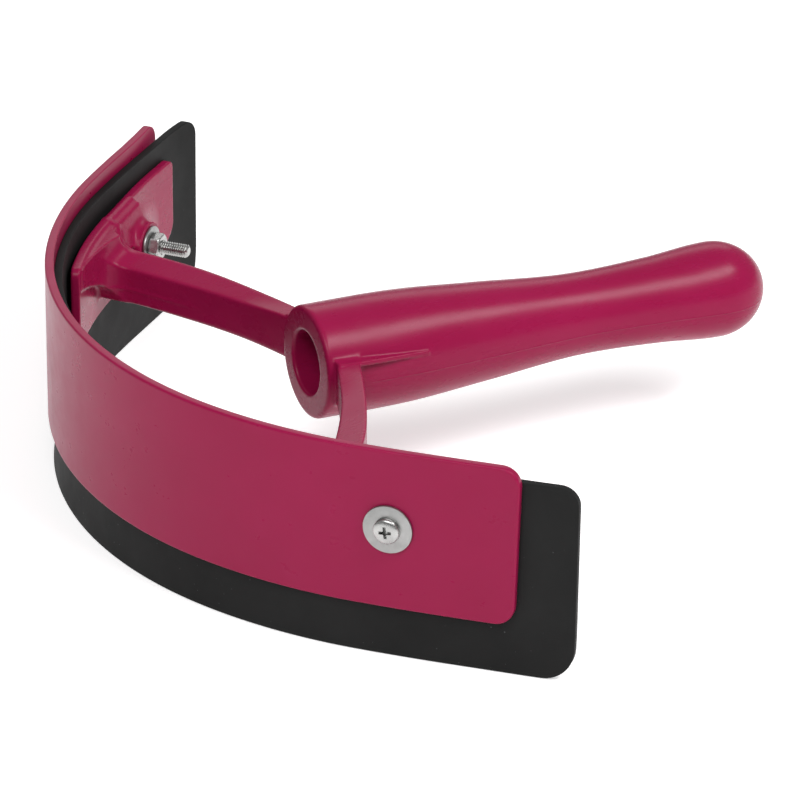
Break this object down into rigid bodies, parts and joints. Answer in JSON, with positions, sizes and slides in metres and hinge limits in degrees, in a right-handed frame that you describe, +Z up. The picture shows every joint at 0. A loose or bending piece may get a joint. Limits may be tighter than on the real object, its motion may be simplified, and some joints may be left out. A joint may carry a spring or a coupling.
{
  "type": "sweat scraper",
  "caption": "Horse sweat scraper: a rubber blade screwed between a bowed plastic band and the two-armed yoke of a hand grip.",
  "frame": {"origin": "middle of the footprint on the plane that the blade's lower edge stands on", "axes": "+X from the bow's apex towards the grip's tip, +Y along the bow's chord, +Z up across the blade's height"},
  "size_m": [0.2086, 0.2662, 0.0606],
  "materials": {
    "band_plastic": "semi-gloss magenta polypropylene",
    "handle_plastic": "semi-gloss magenta polypropylene",
    "blade_rubber": "matte black rubber sheet",
    "zinc_steel": "bright zinc plate",
    "washer_steel": "satin zinc plate"
  },
  "bodies": {
    "root": {"outer_band": "band_plastic", "rubber_blade": "blade_rubber", "handle_yoke": "handle_plastic", "screw_left": "zinc_steel", "screw_right": "zinc_steel", "outer_washer_left": "washer_steel", "outer_washer_right": "washer_steel", "inner_washer_left": "washer_steel", "inner_washer_right": "washer_steel", "nut_left": "zinc_steel", "nut_right": "zinc_steel"}
  },
  "joints": []
}
